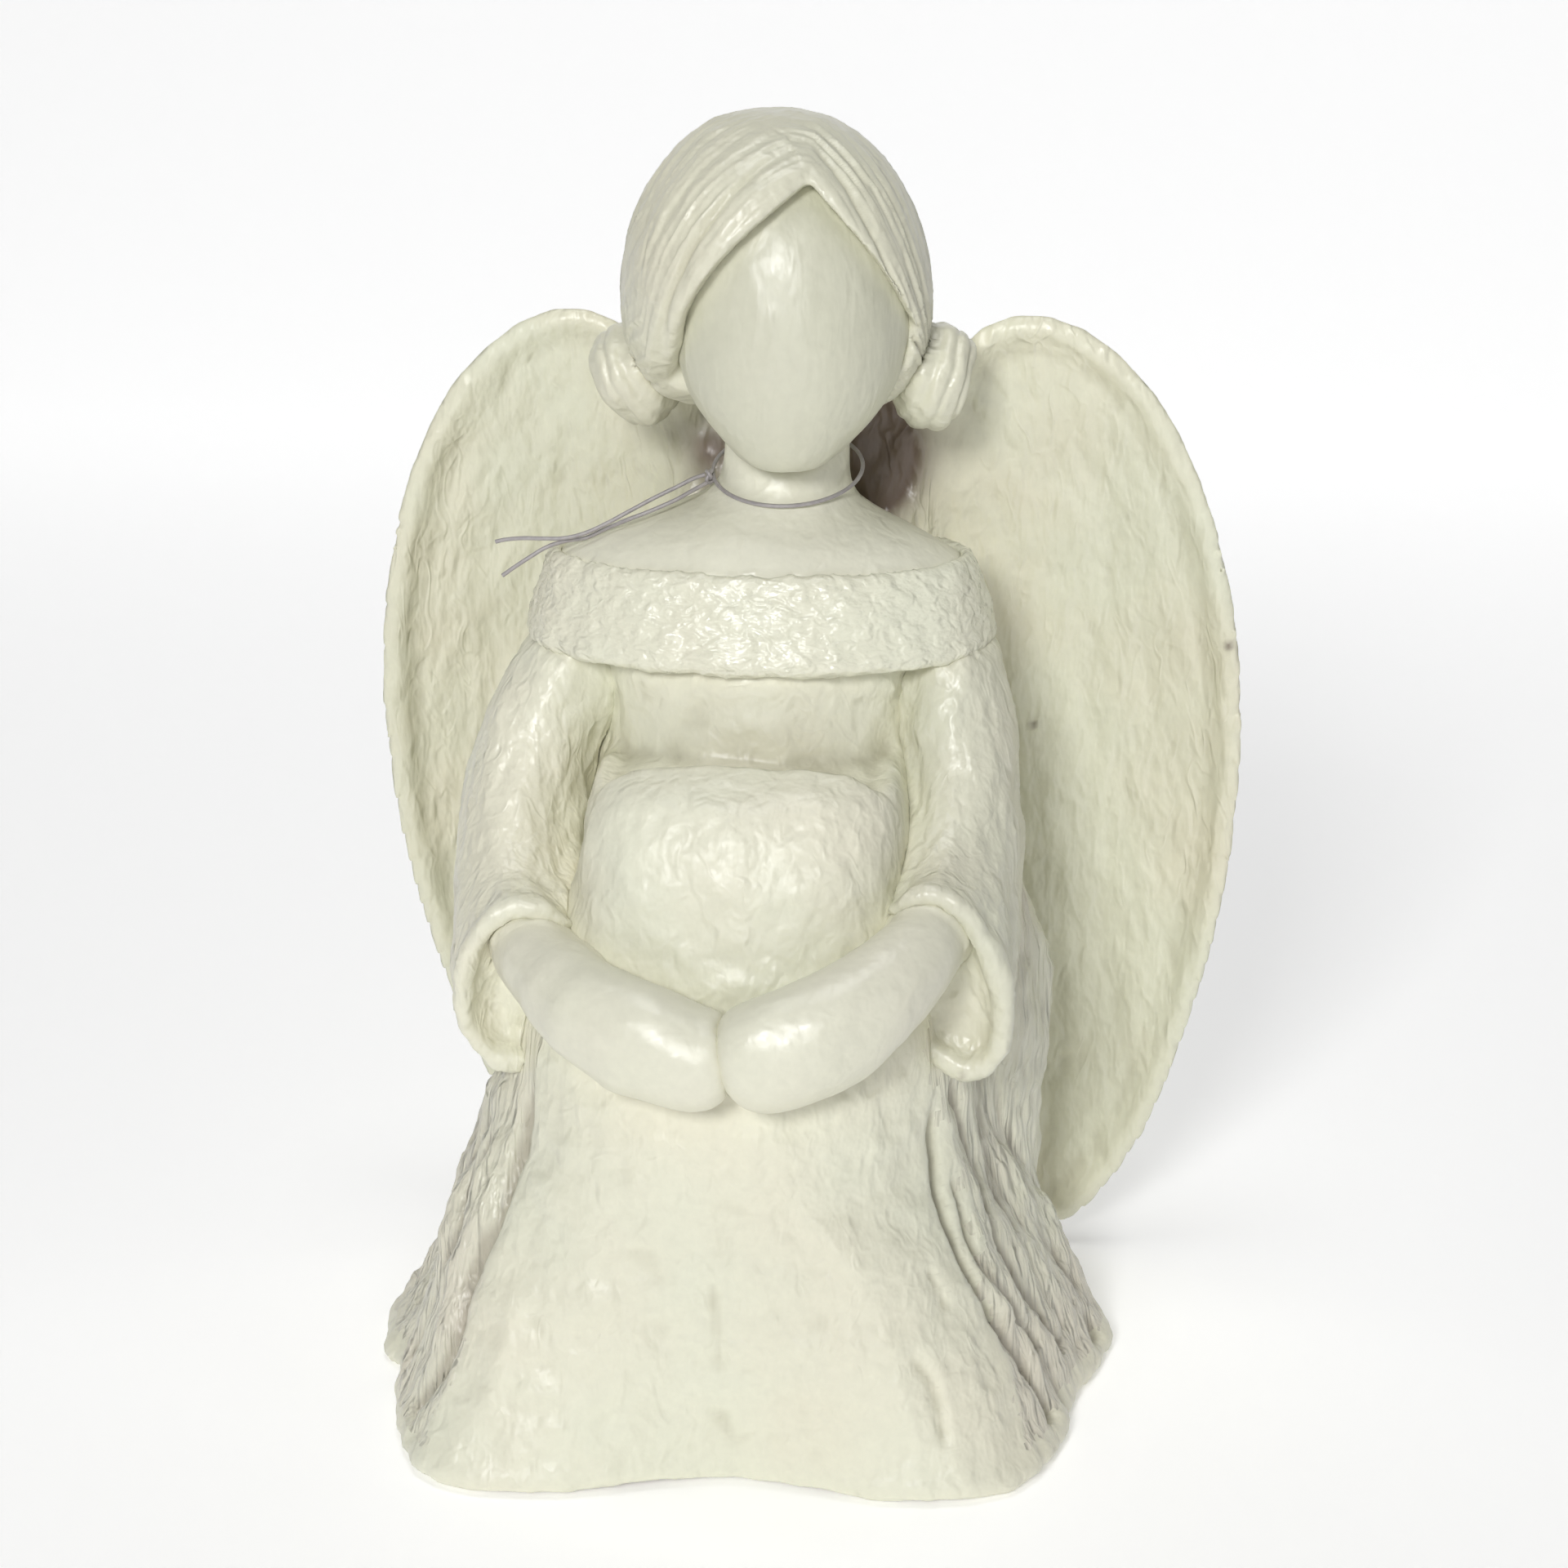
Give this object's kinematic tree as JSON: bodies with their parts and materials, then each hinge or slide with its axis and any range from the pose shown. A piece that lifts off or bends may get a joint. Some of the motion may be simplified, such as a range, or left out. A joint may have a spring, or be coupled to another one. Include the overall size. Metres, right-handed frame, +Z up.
{
  "type": "seated angel figurine",
  "caption": "Seated faceless angel with drawn-up knees, hands meeting in front, off-shoulder gown, side buns, dished wings and a thread round the neck.",
  "frame": {"origin": "centre of the bounding box at its underside, on the surface that the pads stand on, measured without the thread", "axes": "+Z up along the height, -Y the way the figure faces, +X to the figure's left"},
  "size_m": [0.177, 0.1294, 0.2494],
  "materials": {
    "painted_resin": "satin-gloss pale greenish ivory paint over cast resin",
    "pin_steel": "plain drawn steel rod",
    "fibreboard": "plain brown hardboard",
    "felt": "pressed felt",
    "nylon_thread": "grey-lilac nylon thread, slightly shiny"
  },
  "bodies": {
    "root": {"gown": "painted_resin", "collar": "painted_resin", "bust": "painted_resin", "head": "painted_resin", "hair_cap": "painted_resin", "bun_left": "painted_resin", "bun_right": "painted_resin", "sleeve_left": "painted_resin", "sleeve_right": "painted_resin", "forearm_left": "painted_resin", "forearm_right": "painted_resin", "wing_left": "painted_resin", "wing_right": "painted_resin", "neck_pin": "pin_steel", "bun_pin_left": "pin_steel", "bun_pin_right": "pin_steel", "sleeve_pin_left": "pin_steel", "sleeve_pin_right": "pin_steel", "wing_pin_left_upper": "pin_steel", "wing_pin_left_lower": "pin_steel", "wing_pin_right_upper": "pin_steel", "wing_pin_right_lower": "pin_steel", "base_plate": "fibreboard", "felt_pad_front_left": "felt", "felt_pad_front_right": "felt", "felt_pad_rear_left": "felt", "felt_pad_rear_right": "felt", "thread_loop": "nylon_thread", "thread_knot": "nylon_thread", "thread_tail_upper": "nylon_thread", "thread_tail_lower": "nylon_thread"}
  },
  "joints": []
}
